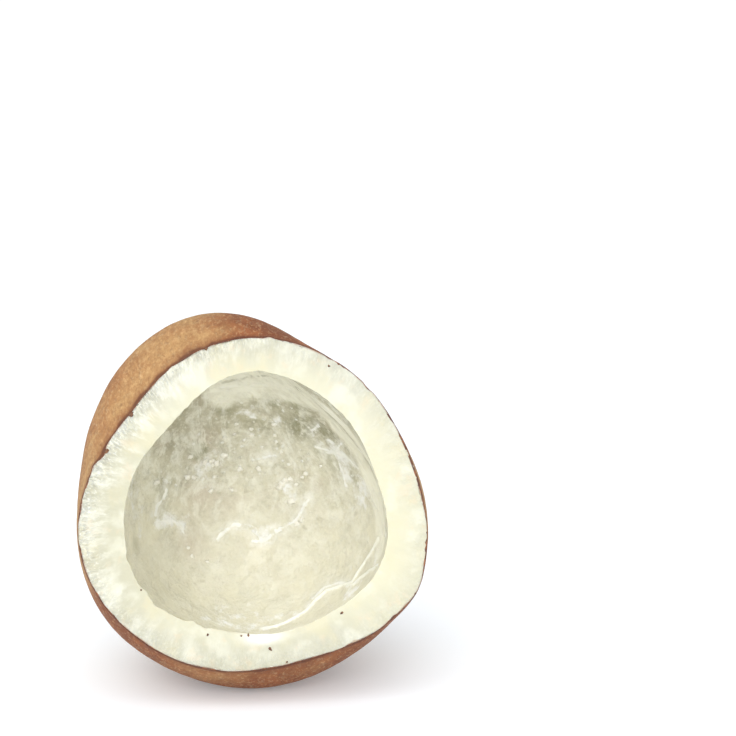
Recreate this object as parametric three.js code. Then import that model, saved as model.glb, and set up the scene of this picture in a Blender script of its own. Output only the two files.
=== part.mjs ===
// A cut coconut: the dried kernel of a coconut, out of its shell, with one end sliced off so that it is
// an open, thick-walled cup. It lies on its flank, and the opening looks towards -Y and a little up.
// Millimetres, +Z up. The origin is the centre of the small flat spot that the kernel rests on.
import * as THREE from "three";

const { degToRad, lerp, smoothstep } = THREE.MathUtils;

// ---- Driving dimensions. Depths run from the cut face along the axis of the opening. ----
const WALL = 9.7; // flesh at the cut face
const BELLY_WALL = 9.6;
const TIP_WALL = 11;

// A fullness of 2 closes the back as an ellipsoid does, and more makes it fuller.
const OUTSIDE = { mouth: 41.3, belly: 45.3, bellyDepth: 19, tipDepth: 68, fullness: 2.3 };
const CAVITY = {
  mouth: OUTSIDE.mouth - WALL,
  belly: OUTSIDE.belly - BELLY_WALL,
  bellyDepth: OUTSIDE.bellyDepth,
  tipDepth: OUTSIDE.tipDepth - TIP_WALL,
  fullness: 2.2,
};

// Swellings run round the wall. Their angles turn from +X towards +Z, as seen through the opening.
// Three crests are the ridges of a coconut, two make it oval, one sets it off centre, and the others make
// it less even.
const MOUTH_SWELLINGS = [
  { crests: 3, height: 1.8, angle: 89 },
  { crests: 2, height: 0.85, angle: 17 },
  { crests: 5, height: 0.5, angle: 42 },
  { crests: 4, height: 0.35, angle: 78 },
];
const CAVITY_MOUTH_SWELLINGS = [
  { crests: 3, height: 1.7, angle: 88 },
  { crests: 2, height: 0.55, angle: 35 },
  { crests: 1, height: 0.5, angle: 58 },
  { crests: 6, height: 0.45, angle: 39 },
  { crests: 4, height: 0.3, angle: 80 },
];
const BELLY_SWELLINGS = [
  { crests: 3, height: 2, angle: 107 },
  { crests: 2, height: 2.6, angle: 115 },
  { crests: 4, height: 0.6, angle: 105 },
  { crests: 6, height: 0.3, angle: 34 },
];

// How far the belly and the closed tip have grown off the axis of the opening
const BELLY_SHIFT = { x: -1.8, z: -1.2 };
const TIP_SHIFT = { x: -1, z: -11.5 };
const BEND_POWER = 1.5; // 1 bends the axis evenly from the belly on, and more bends it nearer the tip
const FADE_POWER = 2; // the same for the swellings, which fade out at the tip

const MOUTH_TILT = 6; // degrees that the opening looks up
const SPOT_PRESS = 2.2; // how far the flank is pressed flat where the kernel rests
const SPOT_SHOULDER = 0.7; // half the height over which the flat spot curves up into the flank

const FLESH = { color: 0xb98755, roughness: 0.75, metalness: 0 };

// ---- Mesh density ----
const ROUND_STEPS = 54;
const FRONT_STEPS = 5; // mouth to belly
const BACK_STEPS = 12; // belly to tip
const FACE_STEPS = 3; // across the cut face

// Half a section of an ovoid, from its mouth to its tip, as points of radius and depth.
function ovoidProfile({ mouth, belly, bellyDepth, tipDepth, fullness }) {
  const points = [];
  const frontReach = bellyDepth / Math.sqrt(1 - (mouth / belly) ** 2);
  for (let i = 0; i < FRONT_STEPS; i++) {
    const depth = (bellyDepth * i) / FRONT_STEPS;
    const share = (bellyDepth - depth) / frontReach;
    points.push(new THREE.Vector2(belly * Math.sqrt(1 - share ** 2), depth));
  }
  for (let i = 0; i < BACK_STEPS; i++) {
    const turn = ((i / BACK_STEPS) * Math.PI) / 2;
    const radius = belly * Math.cos(turn) ** (2 / fullness);
    const depth = lerp(bellyDepth, tipDepth, Math.sin(turn) ** (2 / fullness));
    points.push(new THREE.Vector2(radius, depth));
  }
  points.push(new THREE.Vector2(0, tipDepth));
  return points;
}

// The whole section of the cup: out of the cavity, across the cut face and over the outside.
function cupProfile() {
  const cavity = ovoidProfile(CAVITY).reverse();
  const face = [];
  for (let i = 1; i < FACE_STEPS; i++) {
    face.push(new THREE.Vector2(lerp(CAVITY.mouth, OUTSIDE.mouth, i / FACE_STEPS), 0));
  }
  return [...cavity, ...face, ...ovoidProfile(OUTSIDE)];
}

function swelling(waves, angle) {
  const rise = (wave) => wave.height * Math.cos(wave.crests * (angle - degToRad(wave.angle)));
  return waves.reduce((sum, wave) => sum + rise(wave), 0);
}

// How far the wall swells at a point of the round cup, from the waves at its mouth and its belly.
function swellingAt(radius, angle, bellyShare, tipShare) {
  const outward = smoothstep(radius, CAVITY.mouth, OUTSIDE.mouth);
  const atMouth = lerp(swelling(CAVITY_MOUTH_SWELLINGS, angle), swelling(MOUTH_SWELLINGS, angle), outward);
  const fade = (1 - tipShare ** FADE_POWER) * Math.min(1, radius / CAVITY.mouth);
  return fade * lerp(atMouth, swelling(BELLY_SWELLINGS, angle), bellyShare);
}

// Turns the round cup into the grown shape: ridged, oval, and bending off the axis of its mouth.
function growUneven(position) {
  const { bellyDepth, tipDepth } = OUTSIDE;
  for (let i = 0; i < position.count; i++) {
    const point = new THREE.Vector3().fromBufferAttribute(position, i);
    const angle = Math.atan2(point.z, point.x);
    const bellyShare = Math.sin((Math.min(1, point.y / bellyDepth) * Math.PI) / 2);
    const tipShare = Math.max(0, point.y - bellyDepth) / (tipDepth - bellyDepth);
    const rise = swellingAt(Math.hypot(point.x, point.z), angle, bellyShare, tipShare);
    const bend = tipShare ** BEND_POWER;
    point.x += Math.cos(angle) * rise + lerp(BELLY_SHIFT.x * bellyShare, TIP_SHIFT.x, bend);
    point.z += Math.sin(angle) * rise + lerp(BELLY_SHIFT.z * bellyShare, TIP_SHIFT.z, bend);
    position.setXYZ(i, point.x, point.y, point.z);
  }
}

// Presses the flank flat where the kernel lies, and puts the centre of that spot at the origin.
function pressFlat(geometry) {
  geometry.computeBoundingBox();
  geometry.translate(0, 0, -geometry.boundingBox.min.z - SPOT_PRESS);
  const position = geometry.getAttribute("position");
  const spot = new THREE.Box3();
  for (let i = 0; i < position.count; i++) {
    const point = new THREE.Vector3().fromBufferAttribute(position, i);
    if (point.z >= SPOT_SHOULDER) continue;
    const aboveFlat = Math.max(0, point.z + SPOT_SHOULDER);
    position.setZ(i, aboveFlat ** 2 / (4 * SPOT_SHOULDER));
    if (aboveFlat === 0) spot.expandByPoint(point);
  }
  const centre = spot.getCenter(new THREE.Vector3());
  geometry.translate(-centre.x, -centre.y, 0);
}

function makeKernel() {
  const geometry = new THREE.LatheGeometry(cupProfile(), ROUND_STEPS);
  growUneven(geometry.getAttribute("position"));
  geometry.rotateX(degToRad(-MOUTH_TILT));
  pressFlat(geometry);
  const kernel = new THREE.Mesh(geometry, new THREE.MeshStandardMaterial(FLESH));
  kernel.name = "coconut_kernel";
  return kernel;
}

const coconut = new THREE.Group();
coconut.add(makeKernel());
export default coconut;
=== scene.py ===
from math import cos, pi, radians, sin

import bpy
import numpy as np
from mathutils import Matrix, Vector, noise


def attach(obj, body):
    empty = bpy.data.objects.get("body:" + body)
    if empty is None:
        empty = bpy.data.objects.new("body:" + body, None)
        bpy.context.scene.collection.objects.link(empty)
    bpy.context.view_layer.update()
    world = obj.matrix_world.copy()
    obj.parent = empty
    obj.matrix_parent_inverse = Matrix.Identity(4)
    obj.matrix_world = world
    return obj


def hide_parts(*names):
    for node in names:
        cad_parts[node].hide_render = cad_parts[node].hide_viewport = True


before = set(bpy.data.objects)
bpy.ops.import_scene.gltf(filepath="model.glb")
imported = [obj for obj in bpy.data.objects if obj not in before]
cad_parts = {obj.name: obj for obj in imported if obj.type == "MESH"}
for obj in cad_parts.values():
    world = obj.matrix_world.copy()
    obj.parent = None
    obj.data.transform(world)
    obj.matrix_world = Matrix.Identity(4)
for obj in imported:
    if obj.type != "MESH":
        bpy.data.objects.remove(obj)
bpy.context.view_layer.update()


# ---- Camera ----
# It stands half a metre in front of the opening, a little to the left and above it, and its long lens
# looks past the kernel, which so lies low on the left of the frame.
bpy.ops.object.camera_add(location=(-0.0159, -0.519, 0.1614), rotation=(radians(81), 0, radians(-5)))
camera = bpy.context.object
camera.data.lens = 100
camera.data.sensor_width = 36
bpy.context.scene.camera = camera


# ---- Light and floor ----
# A wide white light stands in front and above, and a softbox stands lower. The whole room is white and
# well lit. The floor is a smooth white sheet that glows a little and runs on to the horizon.
bpy.ops.object.light_add(type="SUN", rotation=(radians(42), 0, radians(-18)))
overhead = bpy.context.object
overhead.name = "overhead_light"
overhead.data.energy = 1.65
overhead.data.angle = radians(60)

bpy.ops.object.light_add(type="AREA", location=(-0.1, -0.75, 0.3))
softbox = bpy.context.object
softbox.name = "softbox"
softbox.rotation_euler = (Vector((0, 0, 0.04)) - softbox.location).to_track_quat("-Z", "Y").to_euler()
softbox.data.size = 0.4
softbox.data.energy = 2.1

world = bpy.data.worlds.new("white_room")
world.use_nodes = True
room = world.node_tree
seen_straight = room.nodes.new("ShaderNodeLightPath").outputs["Is Camera Ray"]
strength = room.nodes.new("ShaderNodeMapRange")  # the room looks pure white, and gives a softer light
strength.inputs["To Min"].default_value = 0.75
strength.inputs["To Max"].default_value = 1.1
room.links.new(seen_straight, strength.inputs["Value"])
room.links.new(strength.outputs["Result"], room.nodes["Background"].inputs["Strength"])
room.nodes["Background"].inputs["Color"].default_value = (0.975, 0.99, 1, 1)
bpy.context.scene.world = world
bpy.context.scene.view_settings.view_transform = "Standard"

bpy.ops.mesh.primitive_plane_add(size=12)
floor = bpy.context.object
floor.name = "floor"
sheet = bpy.data.materials.new("white_sheet")
sheet.use_nodes = True
white = sheet.node_tree.nodes["Principled BSDF"]
white.inputs["Base Color"].default_value = (0.83, 0.85, 0.875, 1)
white.inputs["Roughness"].default_value = 0.6
white.inputs["Emission Color"].default_value = (0.93, 0.98, 1, 1)
white.inputs["Emission Strength"].default_value = 0.19
floor.data.materials.append(sheet)


# ---- Kernel: the flesh ----
# Firm, oily white flesh, about 9 mm thick, that grew round an empty cavity and dried there. A knife took
# one end off: the cut is frosty and fibrous beside the skin, and smoother and creamier beside the cavity.
MOUTH_TILT = radians(6)  # how far the opening looks up
RIGHT = np.array((1, 0, 0))  # across the cut face
UP = np.array((0, sin(MOUTH_TILT), cos(MOUTH_TILT)))  # up the cut face
OUT = np.array((0, -cos(MOUTH_TILT), sin(MOUTH_TILT)))  # out of the opening
MM = 0.001
WALL = 0.0097  # thickness of the flesh at the cut
SKIN = 0.00045  # thickness of the skin
RIM_ROUND = 0.041  # radius of the rim, which turns angles round it into lengths
HOLLOW_BACK = 0.024  # from the cut face back to the middle of the cavity
FACE_FLAT = 0.00002  # the CAD kernel's cut is flat to this
FACE_SLACK = 0.0006  # and on a finer copy, what lies less than this behind its level belongs to it
EDGE_STEP, EDGE_REACH = 5, 3.6  # degrees between the measures of its edges, and how far round each looks
FOLD_HEIGHT, FOLD_WIDTH = 0.00055, 0.0005

# Places round the cut, as turns from +X and how far they reach, in degrees
FROSTY, FROSTY_REACH = 155, 65  # where the flesh is frostiest
RUBBED, RUBBED_REACH = -82, 55  # where the edge of the cavity is rubbed round
SHINY, SHINY_REACH = -87, 8  # where a highlight is painted on the rubbed edge

# Uneven places: height and size in metres, and a seed
FACE_WAVES = (0.00016, 0.007, 1)
FIBRE_TUFTS = (0.00011, 0.0009, 2)
EDGE_RAGS = (0.00016, 0.0016, 3)
WALL_WAVES = (0.00025, 0.011, 4)
WALL_DIMPLES = (0.0001, 0.0035, 5)

# What the knife and the drying did to the two edges: degrees from +X, width in mm, push outwards in mm
OUTER_DENTS = [
    (-30, 6.5, 1.1), (-50, 5, 0.5), (160.5, 1.3, -0.5), (165, 1.5, 0.4), (141, 2.2, -0.3), (106, 1.2, -0.3),
    (84, 1.1, 0.4), (62, 1.1, -0.3), (45, 1.0, -0.4),
]
INNER_DENTS = [
    (-158, 1.4, 0.5), (-142, 1.4, -0.4), (-135, 1.0, 0.5), (-118, 1.2, -0.6), (-112, 0.8, 0.6),
    (87, 1.7, 0.35),
]

# Lines on the wall, as seen from the middle of the cavity. Each point is a turn round the opening from +X
# and a way round from straight out of the opening, in degrees. The folds of film stand off the wall.
FOLDS = [
    [
        (-86, 111), (-80, 111), (-76, 111), (-70, 112), (-65, 113), (-60, 116), (-54, 116), (-46, 110),
        (-43, 106), (-39, 107), (-32, 105), (-27, 103), (-21, 99),
    ],
    [(-46, 107), (-43, 103), (-39, 101), (-34, 95), (-30, 86)],
]
# White threads of film lie flat on it
THREADS = [
    [
        (-117, 151), (-114, 156), (-107, 159), (-95, 160), (-86, 159), (-81, 156), (-76, 152), (-66, 153),
        (-52, 153), (-40, 151), (-27, 151), (-17, 149),
    ],
    [(-85, 153), (-77, 152), (-69, 153), (-61, 154)],
    [(184, 140), (189, 138), (193, 134), (197, 132)],
    [(-158, 132), (-157, 136), (-154, 141), (-148, 143), (-142, 143)],
    [(29, 136), (25, 131), (21, 125), (26, 111)],
    [(21, 125), (13, 126), (5, 127), (-1, 127)],
    [(66, 168), (44, 160)],
    [(54, 80), (43, 91), (33, 100), (25, 97), (20, 90)],
    [(4, 109), (-5, 106), (-12, 97), (-18, 86)],
    [(42, 117), (41, 127), (37, 130)],
    [(105, 124), (94, 124), (82, 119), (68, 106)],
    [(-67, 113), (-61, 118), (-54, 119), (-48, 115), (-44, 108)],
    [(22, 132), (21, 125), (17, 117), (10, 111)],
]
# Thin clear grooves run under the edge
GROOVES = [
    [(103, 121), (95, 119), (89, 115), (83, 110), (76, 104)],
    [(67, 92), (58, 80), (48, 76), (38, 80), (30, 88)],
    [(70, 100), (62, 91), (52, 84), (40, 88), (32, 94)],
]
# A paler band lies inside the edge, above and on the right, in three strips. Its colour is raised further as
# painted light, against the shade under the rim
BANDS = [
    [(110, 117), (96, 114), (84, 111), (72, 102), (60, 90)],
    [(100, 104), (84, 100), (72, 90), (62, 76), (50, 68), (38, 70), (26, 78), (10, 80), (-8, 80)],
    [
        (106, 128), (94, 125), (84, 121), (72, 113), (62, 101), (54, 93), (44, 93), (34, 98), (24, 100),
        (5, 101), (-12, 97), (-21, 94),
    ],
]
# Milky clouds, darker and clearer patches, and brownish places: turn and way round, size in mm, strength
BLOOMS = [
    (86, 140, 3.2, 0.3), (76, 147, 2.4, 0.35), (151, 159, 4, 0.6), (175, 157, 3, 0.5), (-2, 163, 3, 0.6),
    (-24, 157, 3, 0.5), (-156, 139, 2.8, 0.9), (-149, 145, 2.4, 0.8), (-158, 132, 2, 0.7), (-93, 157, 3, 0.4),
    (-72, 154, 2.5, 0.6), (22, 124, 2.5, 1.0), (15, 121, 1.9, 0.9), (33, 128, 1.6, 0.7), (19, 116, 1.2, 0.8),
    (6, 125, 2.4, 0.6), (-106, 117, 6, 0.45), (-90, 115, 7, 0.6), (-74, 113, 5, 0.4), (177, 139, 2, 0.8),
    (63, 139, 3, 0.4), (-29, 95, 3, 0.9), (-8, 118, 6, 0.5), (176, 113, 6, 0.3), (-170, 119, 6, 0.35),
    (-156, 116, 5, 0.25), (-45, 100, 4, 0.8), (3, 112, 5, 0.4), (30, 119, 1.6, 0.7), (95, 141, 1.6, 0.6),
    (88, 143, 1.4, 0.7), (67, 141, 1.6, 0.6),
]
CLEARINGS = [
    (146, 151, 2.2, 1.4), (75, 148, 4, 0.6), (76, 127, 3.5, 1.0), (49, 131, 4, 0.9), (34, 116, 2.6, 1.6),
    (42, 118, 2.4, 1.3), (56, 115, 4, 0.6), (179, 134, 2.5, 0.6), (105, 136, 5, 0.6), (-154, 113, 3.5, 0.5),
    (-122, 124, 5, 0.3), (148, 136, 6, 0.5), (40, 141, 4, 0.25), (51, 141, 3.5, 0.25), (12, 131, 3.5, 0.5),
    (4, 118, 4, 0.5), (24, 134, 3, 0.5), (-130, 112, 5, 0.35), (-134, 131, 5, 0.3),
]
TINGES = [
    (149, 133, 4, 0.8), (135, 148, 5, 0.8), (41, 117, 3.4, 1.0), (-161, 154, 5, 0.7), (-133, 142, 5, 0.7),
    (-125, 166, 4, 0.5), (112, 128, 5, 0.5),
]


def copy_of_kernel(name):
    """A merged copy of the CAD kernel, selected and active, with its triangles joined to quads."""
    bpy.ops.object.select_all(action="DESELECT")
    piece = bpy.data.objects.new(name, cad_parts["coconut_kernel"].data.copy())
    bpy.context.collection.objects.link(piece)
    piece.select_set(True)
    bpy.context.view_layer.objects.active = piece
    piece.data.materials.clear()
    bpy.ops.object.mode_set(mode="EDIT")
    bpy.ops.mesh.select_all(action="SELECT")
    bpy.ops.mesh.remove_doubles(threshold=1e-6)
    bpy.ops.mesh.tris_convert_to_quads(face_threshold=radians(60), shape_threshold=radians(90))
    bpy.ops.object.mode_set(mode="OBJECT")
    return piece


def apply_modifier(piece, kind, **settings):
    modifier = piece.modifiers.new(kind.lower(), kind)
    for name, value in settings.items():
        setattr(modifier, name, value)
    bpy.ops.object.modifier_apply(modifier=modifier.name)


def read(items, value):
    """That value of the points or faces, as rows of x, y, z."""
    flat = np.empty(len(items) * 3)
    items.foreach_get(value, flat)
    return flat.reshape(-1, 3)


def points_of(piece):
    """The places and normals of the piece's points."""
    return read(piece.data.vertices, "co"), read(piece.data.vertices, "normal")


def faces_of(piece):
    """The middles and normals of the piece's faces."""
    return read(piece.data.polygons, "center"), read(piece.data.polygons, "normal")


def write(piece, places):
    piece.data.vertices.foreach_set("co", places.ravel())
    piece.data.update()


def select_faces(piece, chosen):
    """Selects those faces and stays in edit mode."""
    bpy.ops.object.mode_set(mode="EDIT")
    bpy.ops.mesh.select_mode(type="FACE")
    bpy.ops.mesh.select_all(action="DESELECT")
    bpy.ops.object.mode_set(mode="OBJECT")
    piece.data.polygons.foreach_set("select", chosen)
    bpy.ops.object.mode_set(mode="EDIT")


def make_finer(piece, chosen):
    """Divides those faces once."""
    select_faces(piece, chosen)
    bpy.ops.mesh.subdivide(number_cuts=1)
    bpy.ops.object.mode_set(mode="OBJECT")


def turn_between(angle, other):
    """How far two directions round the opening are apart, in radians."""
    return np.abs((angle - other + pi) % (2 * pi) - pi)


def hump(distance, width):
    """1 at no distance, and close to 0 beyond twice the width."""
    return np.exp(-((distance / width) ** 2))


def ramp(value, start, end):
    """0 up to start and 1 from end on, or the other way round, and straight between."""
    return np.clip((value - start) / (end - start), 0, 1)


flesh = copy_of_kernel("flesh")

# The cut face's own measures: its level, its centre, and its two edges as radii round the centre
start = points_of(flesh)[0]
face_level = (start @ OUT).max()
on_face = start[start @ OUT > face_level - FACE_FLAT]
centre = (on_face.min(0) + on_face.max(0)) / 2
hollow = centre - HOLLOW_BACK * OUT


def round_mouth(places):
    """Angle and radius round the middle of the cut face, and depth behind it."""
    x, y = (places - centre)[:, 0], (places - centre) @ UP
    return np.arctan2(y, x), np.hypot(x, y), face_level - places @ OUT


angle, radius, depth = round_mouth(on_face)
steps = np.radians(np.arange(-180, 180, EDGE_STEP))
near = turn_between(angle, steps[:, None]) < radians(EDGE_REACH)
outer_edge = np.array([radius[n].max() for n in near])
inner_edge = np.array([radius[n].min() for n in near])


def share_across(angle, radius):
    """0 at the outer edge of the cut face and 1 at the edge of the cavity."""
    outer = np.interp(angle, steps, outer_edge, period=2 * pi)
    inner = np.interp(angle, steps, inner_edge, period=2 * pi)
    return (outer - radius) / (outer - inner)


def from_hollow(places, normals):
    """Over 0 where a point looks away from the middle of the cavity, and under 0 where it looks at it."""
    return ((places - hollow) * normals).sum(1)


def zones(places, normals):
    """Which points are on the cut face, and which on the wall of the cavity. The rest are outside."""
    face = (round_mouth(places)[2] < FACE_SLACK) & (normals @ OUT > 0.6)
    return face, ~face & (from_hollow(places, normals) < 0)


def towards(turn, way_round):
    """The direction from the middle of the cavity to a mark."""
    turn, way_round = radians(turn), radians(way_round)
    return OUT * cos(way_round) + (RIGHT * cos(turn) + UP * sin(turn)) * sin(way_round)


def distance_to(lines, places):
    """How far each point is from the nearest of those lines, along the wall."""
    reach = np.linalg.norm(places - hollow, axis=1)
    seen = (places - hollow) / reach[:, None]
    best = np.full(len(places), 2.0)
    for line in lines:
        points = [towards(*point) for point in line]
        for a, b in zip(points, points[1:]):
            along = np.clip((seen - a) @ (b - a) / ((b - a) @ (b - a)), 0, 1)
            nearest = a + along[:, None] * (b - a)
            nearest /= np.linalg.norm(nearest, axis=1)[:, None]
            best = np.minimum(best, np.linalg.norm(seen - nearest, axis=1))
    return best * reach


def near_marks(marks, places):
    """Up to 1 in the middle of those marks, and 0 well away from them all."""
    reach = np.linalg.norm(places - hollow, axis=1)
    seen = (places - hollow) / reach[:, None]
    total = 0
    for turn, way_round, size, strength in marks:
        gap = np.linalg.norm(seen - towards(turn, way_round), axis=1) * reach
        total = total + strength * hump(gap, MM * size)
    return np.clip(total, 0, 1)


def edge_push(dents, angle, from_edge):
    """How far those dents push a point outwards, at that angle and that far from the edge."""
    push = np.zeros(len(angle))
    for at, width, out in dents:
        round_edge = RIM_ROUND * turn_between(angle, radians(at))
        push += MM * out * hump(np.hypot(round_edge, from_edge), MM * width)
    return push


def ripple(places, height, size, seed):
    """Smooth uneven values up to about that height, which change over that size, one for each point."""
    shift = Vector((seed * 7.3, seed * 3.1, seed * 5.7))
    return height * np.array([noise.noise(Vector(p) / size + shift) for p in places])


def outwards_at(angle):
    """The directions away from the middle of the cut face, at those angles."""
    return np.cos(angle)[:, None] * RIGHT + np.sin(angle)[:, None] * UP


def unrolled(angle, along):
    """Places for a pattern that runs round with the rim, and along the flesh by the lengths given."""
    return np.column_stack((RIM_ROUND * np.cos(angle), RIM_ROUND * np.sin(angle), along))


def keep(piece, name, values, kind="FLOAT"):
    """Stores a value for each point, for the materials to read."""
    layer = piece.data.attributes.new(name, kind, "POINT")
    field = "vector" if kind == "FLOAT_VECTOR" else "value"
    layer.data.foreach_set(field, values.astype(np.float32).ravel())


bpy.ops.object.mode_set(mode="EDIT")
bpy.ops.mesh.select_all(action="DESELECT")
bpy.ops.mesh.edges_select_sharp(sharpness=radians(40))
bpy.ops.mesh.bevel(offset=0.0002, segments=2)
bpy.ops.object.mode_set(mode="OBJECT")
apply_modifier(flesh, "SUBSURF", levels=2, render_levels=2)

# Finer faces on the cut, and finer still along the folds and threads
middles, normals = faces_of(flesh)
face, wall = zones(middles, normals)
make_finer(flesh, face | (round_mouth(middles)[2] < 2 * FACE_SLACK))
for reach in (0.0024, 0.0012):
    middles, normals = faces_of(flesh)
    face, wall = zones(middles, normals)
    make_finer(flesh, wall & (distance_to(FOLDS + THREADS, middles) < reach))

places, normals = points_of(flesh)
angle, radius, depth = round_mouth(places)
across = share_across(angle, radius)
face, wall = zones(places, normals)
outside = ~face & ~wall
outwards = outwards_at(angle)
degrees = np.degrees(angle)
fold = distance_to(FOLDS, places)
fibre = unrolled(angle, 0.45 * WALL * across)

keep(flesh, "across", across)
keep(flesh, "frosty", 0.2 + 0.8 * hump(np.degrees(turn_between(angle, radians(FROSTY))), FROSTY_REACH))
painted_shine = hump(degrees - SHINY, SHINY_REACH) * ramp(across, 0.6, 0.85) * ramp(depth, 0.0012, 0.0002)
keep(flesh, "painted_highlight", painted_shine)
keep(flesh, "lip", distance_to(BANDS, places))
keep(flesh, "fold", fold)
keep(flesh, "groove", distance_to(GROOVES, places))
keep(flesh, "thread", distance_to(THREADS, places))
keep(flesh, "bloom", near_marks(BLOOMS, places))
keep(flesh, "clearing", near_marks(CLEARINGS, places))
keep(flesh, "tinge", near_marks(TINGES, places))
keep(flesh, "fibre", fibre, "FLOAT_VECTOR")
keep(flesh, "rings", unrolled(angle, 3 * depth), "FLOAT_VECTOR")

# The edges' dents, and a fine raggedness along the inner one
from_outer = np.hypot(np.maximum(depth, 0), WALL * np.clip(across, 0, 1))
from_inner = np.hypot(np.maximum(depth, 0), WALL * np.clip(1 - across, 0, 1))
push = np.where(wall, 0, edge_push(OUTER_DENTS, angle, from_outer))
push += np.where(outside, 0, edge_push(INNER_DENTS, angle, from_inner))
push += np.where(outside, 0, ripple(outwards * RIM_ROUND, *EDGE_RAGS) * hump(from_inner, 0.001))
places += push[:, None] * outwards

# The flesh ends inside its skin. The face rises and falls a little, most in its frosty outer part
under_skin = np.where(outside | (face & (across < 0.02)), 0.6 * SKIN, 0)
places -= under_skin[:, None] * np.where(outside[:, None], normals, outwards)
rough = np.clip(1.4 - 2.4 * across, 0.15, 1)
uneven = ripple(places, *FACE_WAVES) + rough * ripple(fibre, *FIBRE_TUFTS)
places += np.where(face & (across > 0.04) & (across < 0.97), uneven, 0)[:, None] * OUT

# The lower edge of the cavity is rubbed round, and the folds stand off the wall
low = ramp(np.abs(degrees - RUBBED), RUBBED_REACH, 0)
rubbed = 0.0007 * np.sqrt(low) * ramp(from_inner, 0.0022 + 0.002 * low, 0) ** 2
places += np.where(outside, 0, rubbed)[:, None] * (outwards - OUT)
relief = ripple(places, *WALL_WAVES) + ripple(places, *WALL_DIMPLES)
relief *= ramp(depth, 0, 0.003)
relief += FOLD_HEIGHT * hump(fold, FOLD_WIDTH) * ramp(depth, 0, 0.004)
places += np.where(wall, relief, 0)[:, None] * normals
places[:, 2] = np.maximum(places[:, 2], 0.5 * SKIN)
write(flesh, places)
bpy.ops.object.shade_smooth()


def tone(red, green, blue):
    """A colour in values from 0 to 255, as the light values that a shader takes."""
    return tuple(((c / 255 + 0.055) / 1.055) ** 2.4 for c in (red, green, blue)) + (1,)


def put(tree, kind, inputs=None, **settings):
    """Adds a shader node. Its inputs take plain values or other nodes' outputs."""
    node = tree.nodes.new("ShaderNode" + kind)
    for name, value in settings.items():
        setattr(node, name, value)
    for name, value in (inputs or {}).items():
        if isinstance(value, bpy.types.NodeSocket):
            tree.links.new(value, node.inputs[name])
        else:
            node.inputs[name].default_value = value
    return node


def calc(tree, operation, a, b=0.0):
    return put(tree, "Math", {0: a, 1: b}, operation=operation).outputs[0]


def plus(tree, a, b):
    return calc(tree, "ADD", a, b)


def times(tree, a, b):
    return calc(tree, "MULTIPLY", a, b)


def fade(tree, value, start, end):
    """0 up to start and 1 from end on, or the other way round, and smooth between."""
    inputs = {"Value": value, "From Min": start, "From Max": end}
    return put(tree, "MapRange", inputs, interpolation_type="SMOOTHSTEP").outputs["Result"]


def between(tree, mask, low, high):
    """The low value where the mask is 0, and the high one where it is 1."""
    return put(tree, "MapRange", {"Value": mask, "To Min": low, "To Max": high}).outputs["Result"]


def cloudy(tree, place, scale, detail, roughness=0.5):
    """A soft noise from 0 to 1. Its scale is how many times it changes in a metre."""
    inputs = {"Vector": place, "Scale": scale, "Detail": detail, "Roughness": roughness}
    return put(tree, "TexNoise", inputs).outputs["Fac"]


def sway(tree, place, scale, detail, roughness=0.5):
    """The same noise from -0.5 to 0.5, which makes an edge or a level wander."""
    return calc(tree, "SUBTRACT", cloudy(tree, place, scale, detail, roughness), 0.5)


def bent(tree, pattern, place, scale, reach):
    """A pattern's places, pushed about by a noise over the piece, as far as that reach."""
    wind = put(tree, "TexNoise", {"Vector": place, "Scale": scale, "Detail": 2.0}).outputs["Color"]
    inputs = {0: wind, 1: (reach, reach, reach), 2: pattern}
    return put(tree, "VectorMath", inputs, operation="MULTIPLY_ADD").outputs[0]


def lay(tree, below, mask, above, share=1.0):
    """Lays one colour over another where the mask shows, and covers no more than that share."""
    if share < 1:
        mask = times(tree, mask, share)
    return put(tree, "Mix", {0: mask, 6: below, 7: above}, data_type="RGBA").outputs[2]


def start_group(name, **values):
    """A pattern's node group, which takes a place and those values and gives a mask."""
    group = bpy.data.node_groups.new(name, "ShaderNodeTree")
    group.interface.new_socket("Place", in_out="INPUT", socket_type="NodeSocketVector")
    for socket, value in values.items():
        made = group.interface.new_socket(socket, in_out="INPUT", socket_type="NodeSocketFloat")
        made.default_value = value
    group.interface.new_socket("Mask", in_out="OUTPUT", socket_type="NodeSocketFloat")
    return group, group.nodes.new("NodeGroupInput").outputs, group.nodes.new("NodeGroupOutput").inputs


# Patches: soft islands where a noise is over a level
patches, given, result = start_group("patches", Scale=100, Detail=3, Start=0.5, End=0.6)
cloud = cloudy(patches, given["Place"], given["Scale"], given["Detail"], 0.66)
patches.links.new(fade(patches, cloud, given["Start"], given["End"]), result["Mask"])

# Specks: scattered small spots, of which a share shows
specks, given, result = start_group("specks", Scale=300, Size=0.25, Share=0.3)
cell = put(specks, "TexVoronoi", {"Vector": given["Place"], "Scale": given["Scale"]})
chance = put(specks, "SeparateColor", {0: cell.outputs["Color"]}).outputs[0]
dot = fade(specks, cell.outputs["Distance"], given["Size"], times(specks, given["Size"], 0.4))
specks.links.new(times(specks, dot, calc(specks, "LESS_THAN", chance, given["Share"])), result["Mask"])


def spread(tree, group, place, **values):
    """A pattern's mask over a piece."""
    node = tree.nodes.new("ShaderNodeGroup")
    node.node_tree = group
    tree.links.new(place, node.inputs["Place"])
    for name, value in values.items():
        node.inputs[name.title()].default_value = value
    return node.outputs["Mask"]


def start_material(piece, name):
    """A new material on the piece: its node tree, its shader and the place on the piece."""
    look = bpy.data.materials.new(name)
    look.use_nodes = True
    piece.data.materials.append(look)
    tree = look.node_tree
    return tree, tree.nodes["Principled BSDF"], put(tree, "TexCoord").outputs["Object"]


def own(tree, name, output="Fac"):
    """A value that the piece keeps for each of its points."""
    return put(tree, "Attribute", attribute_name=name).outputs[output]


def stretch(tree, place, x, y, z):
    return put(tree, "Mapping", {"Vector": place, "Scale": (x, y, z)}).outputs[0]


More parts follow.
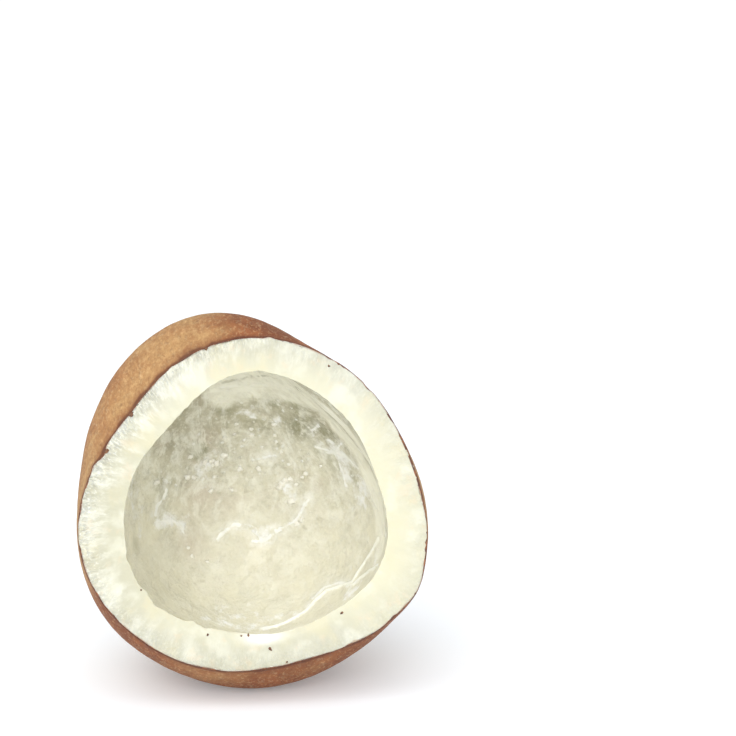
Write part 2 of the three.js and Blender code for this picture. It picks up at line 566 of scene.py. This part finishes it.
def finish_surface(tree, shader, colour, roughness, bumps, plain=None):
    """Joins colour, roughness and a chain of bumps, each a (height, depth in metres) pair, to the shader.
    The plain values are the same all over the surface."""
    tree.links.new(colour, shader.inputs["Base Color"])
    tree.links.new(roughness, shader.inputs["Roughness"])
    bump = None
    for height, depth in bumps:
        inputs = {"Height": height, "Distance": depth, "Strength": 1.0}
        if bump:
            inputs["Normal"] = bump
        bump = put(tree, "Bump", inputs).outputs["Normal"]
    tree.links.new(bump, shader.inputs["Normal"])
    for name, value in (plain or {}).items():
        shader.inputs[name].default_value = value


# The cut: off-white and frosty beside the skin, with short fibres that run in, then smooth and creamy
tree, shader, place = start_material(flesh, "cut_flesh")
share_in, frosty = own(tree, "across"), own(tree, "frosty")
along_fibre = bent(tree, own(tree, "fibre", "Vector"), place, 350.0, 0.0014)
with_fibre = put(tree, "VectorMath", {0: along_fibre, 1: place}, operation="ADD").outputs[0]
wave = sway(tree, along_fibre, 300.0, 4.0)
zone = plus(tree, share_in, times(tree, wave, 0.7))
edge_zone = fade(tree, zone, 0.55, 0.05)
colour = lay(tree, tone(184, 183, 168), fade(tree, zone, 0.0, 0.45), tone(193, 191, 174))
colour = lay(tree, colour, fade(tree, zone, 0.3, 0.9), tone(203, 200, 177))

# Painted shade darkens it below, on the left and at the top, and painted light brightens and warms it on the
# right
at = put(tree, "SeparateXYZ", {0: place}).outputs
painted_shade = calc(tree, "MAXIMUM", fade(tree, at["Z"], 0.034, 0.006), fade(tree, at["X"], -0.012, -0.036))
painted_shade = calc(tree, "MAXIMUM", painted_shade, fade(tree, at["Z"], 0.078, 0.092))
colour = lay(tree, colour, painted_shade, tone(181, 178, 155), 0.75)
# Painted light on the right side
colour = lay(tree, colour, fade(tree, at["X"], 0.018, 0.036), tone(214, 208, 172), 0.3)
soft = cloudy(tree, place, 130.0, 4.0)
colour = lay(tree, colour, fade(tree, soft, 0.5, 0.66), tone(220, 219, 203), 0.45)
colour = lay(tree, colour, fade(tree, soft, 0.49, 0.33), tone(208, 200, 166), 0.35)

# Fibres, frost and painted glints beside the skin, a painted highlight on the rubbed edge, faint stains, and
# a trace of the skin's brown
fibres = spread(tree, patches, along_fibre, scale=330.0, detail=4.0, start=0.42, end=0.64)
fibres = times(tree, fibres, times(tree, fade(tree, zone, 1.0, 0.4), frosty))
colour = lay(tree, colour, fibres, tone(226, 225, 213), 0.6)
frost = spread(tree, patches, with_fibre, scale=900.0, detail=5.0, start=0.46, end=0.62)
frost = times(tree, frost, times(tree, edge_zone, frosty))
colour = lay(tree, colour, frost, tone(172, 174, 166), 0.6)
# Painted glints: small white flecks of light on the frosty part
glint = spread(tree, patches, with_fibre, scale=1150.0, detail=5.0, start=0.5, end=0.64)
glint = times(tree, glint, times(tree, fade(tree, zone, 0.7, 0.1), frosty))
colour = lay(tree, colour, glint, tone(234, 233, 222), 0.6)
colour = lay(tree, colour, own(tree, "painted_highlight"), tone(238, 239, 236), 0.9)
stain = spread(tree, patches, place, scale=240.0, detail=3.0, start=0.55, end=0.7)
colour = lay(tree, colour, stain, tone(222, 196, 162), 0.2)
rust = plus(tree, share_in, times(tree, wave, 0.12))
colour = lay(tree, colour, fade(tree, rust, 0.06, 0.0), tone(164, 118, 84), 0.6)

dry = spread(tree, patches, along_fibre, scale=700.0, detail=4.0, start=0.4, end=0.65)
fuzz = times(tree, cloudy(tree, along_fibre, 1700.0, 4.0, 0.6), between(tree, edge_zone, 0.35, 1.0))
finish_surface(
    tree, shader, colour, between(tree, dry, 0.36, 0.62), [(frost, -0.00012), (fuzz, 0.0002)],
    {
        "Subsurface Weight": 0.3, "Subsurface Radius": (1.0, 0.85, 0.6), "Subsurface Scale": 0.0012,
        "Specular IOR Level": 0.35,
    },
)

# The cavity's wall: a smooth, waxy, half-clear film, creamier and calmer below. Its darker, greyer top is
# mostly painted shade, and its left wall is lightened as painted light
tree, shader, place = start_material(flesh, "cavity_film")
at = put(tree, "SeparateXYZ", {0: place}).outputs
broad = sway(tree, place, 45.0, 5.0, 0.6)
level = plus(tree, at["Z"], times(tree, broad, 0.06))
inputs = {"Value": level, "From Min": 0.026, "From Max": 0.048, "To Min": 0.35, "To Max": 1.0}
calm = put(tree, "MapRange", inputs).outputs["Result"]
# Painted shade: the film darkens and greys towards the top of the cavity
colour = lay(tree, tone(229, 225, 205), fade(tree, level, 0.022, 0.058), tone(215, 211, 191))
colour = lay(tree, colour, fade(tree, level, 0.05, 0.07), tone(176, 170, 142))
# Painted light: a paler colour on the left wall, which the lamps barely reach
colour = lay(tree, colour, fade(tree, at["X"], -0.024, -0.035), tone(247, 243, 226), 0.85)

# Clouded, brownish, greyish and clearer patches
mottle = spread(tree, patches, place, scale=120.0, detail=8.0, start=0.42, end=0.62)
colour = lay(tree, colour, mottle, tone(238, 236, 222), 0.35)
squashed = stretch(tree, place, 0.8, 1.0, 1.3)
tanned = spread(tree, patches, squashed, scale=80.0, detail=6.0, start=0.52, end=0.68)
colour = lay(tree, colour, times(tree, tanned, calm), tone(202, 188, 172), 0.35)
tinge = times(tree, own(tree, "tinge"), plus(tree, times(tree, broad, 2.0), 0.7))
colour = lay(tree, colour, tinge, tone(192, 176, 160), 0.8)
grey = spread(tree, patches, place, scale=100.0, detail=8.0, start=0.5, end=0.66)
colour = lay(tree, colour, times(tree, grey, calm), tone(176, 176, 163), 0.35)
clearing = fade(tree, plus(tree, own(tree, "clearing"), times(tree, broad, 0.8)), 0.1, 0.8)
colour = lay(tree, colour, clearing, tone(150, 147, 118), 0.8)

# Wisps, curd and grain in the film
flowing = stretch(tree, bent(tree, place, place, 55.0, 0.018), 1.0, 0.5, 0.45)
wisps = spread(tree, patches, flowing, scale=330.0, detail=8.0, start=0.47, end=0.64)
colour = lay(tree, colour, times(tree, wisps, calm), tone(248, 247, 236), 0.7)
curd = cloudy(tree, place, 380.0, 8.0, 0.7)
colour = lay(tree, colour, times(tree, fade(tree, curd, 0.5, 0.66), calm), tone(248, 246, 234), 0.45)
colour = lay(tree, colour, times(tree, fade(tree, curd, 0.48, 0.32), calm), tone(160, 156, 130), 0.35)
grain = cloudy(tree, place, 1100.0, 5.0, 0.65)
colour = lay(tree, colour, times(tree, fade(tree, grain, 0.5, 0.68), calm), tone(250, 248, 236), 0.32)
colour = lay(tree, colour, times(tree, fade(tree, grain, 0.48, 0.32), calm), tone(168, 164, 140), 0.25)

# Milky clouds, threads with a thin halo, and the folds
ragged = cloudy(tree, place, 330.0, 9.0, 0.66)
bloom = plus(tree, own(tree, "bloom"), times(tree, calc(tree, "SUBTRACT", ragged, 0.5), 2.8))
bloom = times(tree, fade(tree, bloom, 0.3, 1.0), fade(tree, own(tree, "bloom"), 0.02, 0.3))
colour = lay(tree, colour, bloom, tone(255, 255, 252))
wander = sway(tree, place, 480.0, 5.0)
near_thread = plus(tree, own(tree, "thread"), times(tree, wander, 0.0024))
broken = spread(tree, patches, place, scale=340.0, detail=6.0, start=0.3, end=0.46)
thread = times(tree, fade(tree, near_thread, 0.00075, 0.0001), broken)
halo = times(tree, fade(tree, near_thread, 0.0028, 0.0004), times(tree, fade(tree, ragged, 0.36, 0.6), 0.45))
thread = calc(tree, "MAXIMUM", thread, halo)
colour = lay(tree, colour, thread, tone(255, 255, 250))
near_fold = plus(tree, own(tree, "fold"), times(tree, wander, 0.0012))
colour = lay(tree, colour, fade(tree, near_fold, 0.0008, 0.0002), tone(255, 255, 246), 0.95)

# Small crystals of dried milk, the paler band under the edge, partly painted light, and the grooves in it
dust = spread(tree, specks, place, scale=620.0, size=0.42, share=0.3)
clusters = spread(tree, patches, place, scale=75.0, detail=2.0, start=0.44, end=0.58)
clusters = times(tree, fade(tree, level, 0.036, 0.046), clusters)
crystals = times(tree, times(tree, dust, clusters), fade(tree, grain, 0.36, 0.54))
colour = lay(tree, colour, crystals, tone(255, 254, 246))
lip = fade(tree, plus(tree, own(tree, "lip"), times(tree, broad, 0.008)), 0.006, 0.003)
rings = spread(tree, patches, own(tree, "rings", "Vector"), scale=150.0, detail=6.0, start=0.4, end=0.58)
lip = times(tree, lip, plus(tree, times(tree, rings, 0.3), 0.7))
colour = lay(tree, colour, lip, tone(255, 253, 238))
groove = fade(tree, plus(tree, own(tree, "groove"), times(tree, wander, 0.0012)), 0.0007, 0.0001)
colour = lay(tree, colour, groove, tone(142, 138, 108), 0.45)

raised = plus(tree, plus(tree, thread, crystals), times(tree, bloom, 0.5))
fine = cloudy(tree, place, 900.0, 4.0)
finish_surface(
    tree, shader, colour, between(tree, mottle, 0.34, 0.55),
    [(mottle, 0.00025), (raised, 0.0002), (fine, 0.00014)],
    {
        "Subsurface Weight": 0.15, "Subsurface Radius": (1.0, 0.9, 0.65), "Subsurface Scale": 0.002,
        "Specular IOR Level": 0.45,
    },
)

face, wall = zones(*faces_of(flesh))
flesh.data.polygons.foreach_set("material_index", wall.astype(np.int32))
flesh.data.update()
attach(flesh, "root")
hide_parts("coconut_kernel")


# ---- Kernel: the brown skin ----
# A thin, tough skin grown fast to the flesh. It is matt and finely wrinkled where it lay against the
# shell, and dark along the edge that the knife left. Its strands meet at a stem scar behind.
CREASES = [  # dark creases, as turns round the opening and ways round from it, in degrees
    [
        (20, 75), (18.5, 81), (12, 87), (10.5, 94), (4.5, 100), (3.5, 107), (-4, 114), (-6, 121), (-14, 127),
        (-19, 136), (-29, 141), (-50, 152),
    ],
    [
        (100, 84), (103, 90), (111, 96), (113, 104), (118, 112), (116.5, 120), (119, 128), (114, 138),
        (112, 150),
    ],
    [(200, 90), (204, 98), (212, 104), (215, 112), (221, 121), (222, 135)],
    [(60, 100), (70, 108), (85, 112)],
    [(-60, 80), (-70, 100), (-95, 115)],
    [(160, 120), (150, 135), (120, 160)],
]
CREASE_DEPTH, CREASE_WIDTH = 0.00014, 0.0007
BLUSHES_AND_SHADE = [  # red-brown places, which also paint shade under the kernel and a shadow over its top right: x, y, z and size in mm
    (12, -30, 92, 22), (12, -10, 95, 17), (0, -10, 0, 34), (34, -28, 18, 16), (-34, -30, 20, 12),
    (30, 20, 40, 14),
]
SKIN_RAGS = (0.0002, 0.0016, 6)
SKIN_BITES = (0.00025, 0.007, 7)
SKIN_WAVES = (0.00013, 0.009, 8)
SKIN_DIMPLES = (0.00006, 0.0026, 9)

skin = copy_of_kernel("skin")
face, wall = zones(*faces_of(skin))
select_faces(skin, face | wall)
bpy.ops.mesh.delete(type="FACE")
bpy.ops.object.mode_set(mode="OBJECT")
apply_modifier(skin, "SUBSURF", levels=2, render_levels=2)

# Wrinkles: thin winding lines, where a noise passes its middle
wrinkles, given, result = start_group("wrinkles", Scale=200, Detail=2, Warp=0.6, Width=0.05)
inputs = {"Vector": given["Place"], "Scale": given["Scale"], "Detail": given["Detail"]}
cloud = put(wrinkles, "TexNoise", {**inputs, "Distortion": given["Warp"]}).outputs["Fac"]
from_middle = calc(wrinkles, "ABSOLUTE", calc(wrinkles, "SUBTRACT", cloud, 0.5))
wrinkles.links.new(fade(wrinkles, from_middle, given["Width"], 0.0), result["Mask"])

# Tan, with darker blotches, pale patches, and red-brown places that are worn lighter. The red-brown places
# are partly painted shade under the kernel and a painted shadow at its top right
tree, shader, place = start_material(skin, "brown_skin")
behind, redder_and_shaded = own(tree, "depth"), own(tree, "blush_and_shade")
lengthwise = stretch(tree, place, 1.0, 0.4, 0.8)
blotch = spread(tree, patches, place, scale=38.0, detail=5.0, start=0.44, end=0.68)
colour = lay(tree, tone(182, 143, 95), blotch, tone(160, 106, 66), 0.65)
pale = spread(tree, patches, place, scale=60.0, detail=6.0, start=0.48, end=0.7)
colour = lay(tree, colour, pale, tone(204, 170, 118), 0.6)
patchy = cloudy(tree, place, 110.0, 7.0, 0.65)
patchy_sway = calc(tree, "SUBTRACT", patchy, 0.5)
# Real redness with painted shade and shadow: dark red-brown under the kernel and at its top right
reddened_and_shaded = fade(tree, plus(tree, redder_and_shaded, times(tree, patchy_sway, 0.9)), 0.1, 0.85)
colour = lay(tree, colour, reddened_and_shaded, tone(120, 62, 33), 0.95)
worn = spread(tree, patches, lengthwise, scale=210.0, detail=6.0, start=0.44, end=0.62)
colour = lay(tree, colour, times(tree, worn, redder_and_shaded), tone(174, 108, 64), 0.55)

# Fine wrinkles, grit, light flecks and pits
fine = spread(tree, wrinkles, lengthwise, scale=380.0, detail=5.0, warp=1.5, width=0.1)
colour = lay(tree, colour, fine, tone(138, 92, 56), 0.18)
grit = cloudy(tree, lengthwise, 1300.0, 4.0, 0.7)
colour = lay(tree, colour, fade(tree, grit, 0.52, 0.36), tone(126, 84, 50), 0.3)
colour = lay(tree, colour, fade(tree, grit, 0.52, 0.66), tone(224, 186, 136), 0.3)
flecks = spread(tree, patches, lengthwise, scale=800.0, detail=5.0, start=0.54, end=0.68)
colour = lay(tree, colour, flecks, tone(226, 192, 146), 0.2)
pits = spread(tree, specks, place, scale=420.0, size=0.3, share=0.1)
colour = lay(tree, colour, pits, tone(104, 64, 42), 0.4)

# Dark and light strands and veins that run back to the stem scar
far = fade(tree, behind, 0.004, 0.024)
strand = own(tree, "strand", "Vector")
strands = spread(tree, patches, strand, scale=420.0, detail=7.0, start=0.46, end=0.66)
strands = times(tree, strands, far)
colour = lay(tree, colour, strands, tone(140, 92, 56), 0.32)
light_strands = spread(tree, patches, strand, scale=560.0, detail=7.0, start=0.52, end=0.7)
colour = lay(tree, colour, times(tree, light_strands, far), tone(214, 176, 124), 0.35)
veins = spread(tree, wrinkles, strand, scale=105.0, detail=6.0, warp=0.5, width=0.016)
veins = times(tree, veins, fade(tree, patchy, 0.42, 0.56))
veins = times(tree, veins, plus(tree, times(tree, far, 0.4), 0.1))
colour = lay(tree, colour, veins, tone(112, 70, 44))

# The creases, the scar in its darker ring, and the cut edge
jitter = times(tree, cloudy(tree, place, 500.0, 5.0), 0.0022)
crease = fade(tree, plus(tree, own(tree, "crease"), jitter), 0.0017, 0.0009)
colour = lay(tree, colour, crease, tone(100, 62, 40), 0.5)
from_tip = plus(tree, own(tree, "from_tip"), times(tree, patchy_sway, 0.009))
colour = lay(tree, colour, fade(tree, from_tip, 0.012, 0.001), tone(126, 80, 50), 0.6)
scar = fade(tree, from_tip, 0.0032, 0.0016)
colour = lay(tree, colour, scar, tone(84, 52, 38), 0.75)
wander = sway(tree, place, 250.0, 3.0)
margin = fade(tree, plus(tree, behind, times(tree, wander, 0.004)), 0.0034, 0.0006)
colour = lay(tree, colour, margin, tone(120, 68, 42), 0.5)
edge = fade(tree, plus(tree, behind, times(tree, wander, 0.0016)), 0.0012, 0.0003)
colour = lay(tree, colour, edge, tone(86, 46, 32), 0.8)
finish_surface(
    tree, shader, colour, between(tree, flecks, 0.74, 0.58),
    [
        (blotch, 0.0002), (fine, -0.00006), (flecks, 0.0001), (grit, 0.0002), (strands, -0.00012),
        (crease, -0.0002), (scar, -0.0003),
    ],
    {"Specular IOR Level": 0.3},
)

tree, shader, place = start_material(skin, "skin_edge")
flaky = spread(tree, patches, place, scale=700.0, detail=3.0, start=0.45, end=0.6)
colour = lay(tree, tone(88, 52, 38), flaky, tone(140, 88, 58))
finish_surface(tree, shader, colour, between(tree, flaky, 0.5, 0.75), [(flaky, 0.0001)])

# The skin gets its thickness inwards, and its outside finer faces, finest along the creases
apply_modifier(
    skin, "SOLIDIFY", thickness=SKIN, offset=-1, use_rim=True, use_quality_normals=True, material_offset=1,
    material_offset_rim=1,
)
middles, normals = faces_of(skin)
outer = from_hollow(middles, normals) > 0.25 * np.linalg.norm(middles - hollow, axis=1)
outer &= np.array([polygon.material_index == 0 for polygon in skin.data.polygons])
make_finer(skin, outer)
for reach in (0.0016, 0.0008):
    middles, normals = faces_of(skin)
    make_finer(skin, (from_hollow(middles, normals) > 0) & (distance_to(CREASES, middles) < reach))

places, normals = points_of(skin)
angle, radius, depth = round_mouth(places)
outwards = outwards_at(angle)
on_top = from_hollow(places, normals) > 0
crease = distance_to(CREASES, places)
blush_and_shade = 0
for x, y, z, size in BLUSHES_AND_SHADE:
    blush_and_shade = blush_and_shade + hump(np.linalg.norm(places - MM * np.array((x, y, z)), axis=1), MM * size)
keep(skin, "depth", depth)
keep(skin, "strand", unrolled(angle, 0.22 * depth), "FLOAT_VECTOR")
keep(skin, "crease", crease)
keep(skin, "blush_and_shade", np.clip(blush_and_shade, 0, 1))

# The same dents as in the flesh, a ragged edge, and a relief that sinks along the creases
places += edge_push(OUTER_DENTS, angle, np.maximum(depth, 0))[:, None] * outwards
ragged = ripple(outwards * RIM_ROUND, *SKIN_RAGS) + ripple(outwards * RIM_ROUND, *SKIN_BITES)
places -= (np.maximum(ragged, -0.00005) * hump(depth, 0.0016))[:, None] * OUT
relief = ripple(places, *SKIN_WAVES) + ripple(places, *SKIN_DIMPLES)
relief -= CREASE_DEPTH * hump(crease, CREASE_WIDTH)
places += np.where(on_top, relief, 0)[:, None] * normals
angle, radius, depth = round_mouth(start)
tip = start[np.argmax(depth - 5 * radius)]  # where the strands meet, behind the middle of the opening
keep(skin, "from_tip", np.linalg.norm(places - tip, axis=1))
places[:, 2] = np.maximum(places[:, 2], np.where(on_top, 0, SKIN))
write(skin, places)
bpy.ops.object.shade_smooth()
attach(skin, "root")
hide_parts("coconut_kernel")


# ---- Crumbs and milk specks ----
# Dark crumbs of skin that the knife dragged over the cut, and white specks of coconut milk that dried on
# the wall of the cavity. They all stick to the oily flesh.
CRUMBS = [  # across and up from the middle of the opening, and length, in mm, then its turn in degrees
    (21.3, -27.1, 0.8, 20), (-1.6, -32, 0.8, 80), (-3.3, -32.1, 0.5, 0), (-11.5, -31.6, 0.6, 50),
    (3.6, -35.5, 1, -40), (7.7, -38.8, 0.6, 10), (-27.6, -20.2, 0.5, 30), (-29.3, 22.7, 1.4, 50),
    (-35.3, 13.9, 1.3, 50), (-33.6, 19, 0.7, 55), (-11, 38.3, 0.8, 30), (18.8, 33.7, 0.6, -30),
]
MILK_SPECKS = [
    (-15.3, 7.1, 1.6, 0), (-11.3, 5.5, 1.9, 40), (-9.4, 5.7, 1.6, 10), (-8.1, 5.1, 1.7, 80), (-6.2, 7, 2, 20),
    (-9.2, 4.6, 1.2, 0), (-16.2, 1.6, 1.9, 60), (-14.3, 1.5, 1.6, 0), (-8.7, 1.2, 1.4, 30),
    (-4.1, -2.5, 1.6, 0), (-9.8, -2.6, 1.4, 20), (-1.9, 3.3, 1.6, 70), (3.2, 3.2, 1.7, 0),
    (1.1, 14.5, 1.2, 0), (1.3, 12.8, 1.4, 10), (-0.8, 11.4, 1.2, 40), (7.1, 16, 1.6, 0), (7.4, 12.8, 1.2, 0),
    (7.7, 10.9, 1.1, 50), (-1.3, 9.7, 1.1, 0), (9.1, 8.1, 1.1, 30), (8.8, -1.8, 2, 45), (10.2, 0.2, 1.9, 0),
    (11.5, 0.5, 1.6, 20), (9.4, -0.9, 2, 80), (12, -5.6, 2.4, 50), (15.5, 2, 1.4, 0), (14.7, 1.1, 1.1, 0),
    (13.1, -1.1, 1.2, 30), (-24.2, 1, 2, 10), (4, 9.4, 1.1, 0), (-2.9, 15.9, 1.2, 20), (-5.9, 12.3, 1.1, 0),
    (19.5, 4.5, 1.1, 0), (14.4, -10.8, 1.7, 60), (13.3, -11.9, 1.4, 0), (-16.2, -17.6, 1.1, 0),
    (-15.2, -19.8, 1.2, 30), (-10.9, -21.6, 1.1, 0),
]


def scatter(name, marks, width, thickness, unevenness):
    """Small uneven lumps on the flesh, one for each mark as seen straight into the opening, as one piece."""
    lumps = []
    for number, (across, up, length, turn) in enumerate(marks):
        above = centre + MM * across * RIGHT + MM * up * UP + 0.02 * OUT
        _, spot, facing, _ = flesh.ray_cast(Vector(above), Vector(-OUT))
        bpy.ops.object.select_all(action="DESELECT")
        bpy.ops.mesh.primitive_ico_sphere_add(subdivisions=2, radius=0.5 * MM * length, location=(0, 0, 0))
        lump = bpy.context.object
        shape = points_of(lump)[0]
        shape *= 1 + ripple(shape, unevenness, 0.4 * MM * length, 20 + number)[:, None]
        write(lump, shape * (1, width, thickness))
        lying = facing.to_track_quat("Z", "X").to_matrix() @ Matrix.Rotation(radians(turn - 90), 3, "Z")
        lump.rotation_euler = lying.to_euler()
        lump.location = spot
        bpy.ops.object.transform_apply(location=True, rotation=True, scale=True)
        bpy.ops.object.shade_smooth()
        lumps.append(lump)
    bpy.ops.object.select_all(action="DESELECT")
    for lump in lumps:
        lump.select_set(True)
    bpy.context.view_layer.objects.active = lumps[0]
    bpy.ops.object.join()
    lumps[0].name = name
    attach(lumps[0], "root")
    return lumps[0]


crumbs = scatter("crumbs", CRUMBS, width=0.7, thickness=0.4, unevenness=1.1)
tree, shader, place = start_material(crumbs, "dark_crumb")
crusty = spread(tree, patches, place, scale=1500.0, detail=3.0, start=0.4, end=0.6)
colour = lay(tree, tone(88, 58, 42), crusty, tone(140, 98, 70))
finish_surface(tree, shader, colour, between(tree, crusty, 0.6, 0.8), [(crusty, 0.0001)])

milk_specks = scatter("milk_specks", MILK_SPECKS, width=0.8, thickness=0.55, unevenness=0.9)
tree, shader, place = start_material(milk_specks, "dried_milk")
chalky = spread(tree, patches, place, scale=1800.0, detail=3.0, start=0.35, end=0.65)
colour = lay(tree, tone(246, 242, 230), chalky, tone(255, 253, 246))
finish_surface(tree, shader, colour, between(tree, chalky, 0.4, 0.6), [(chalky, 0.00005)])
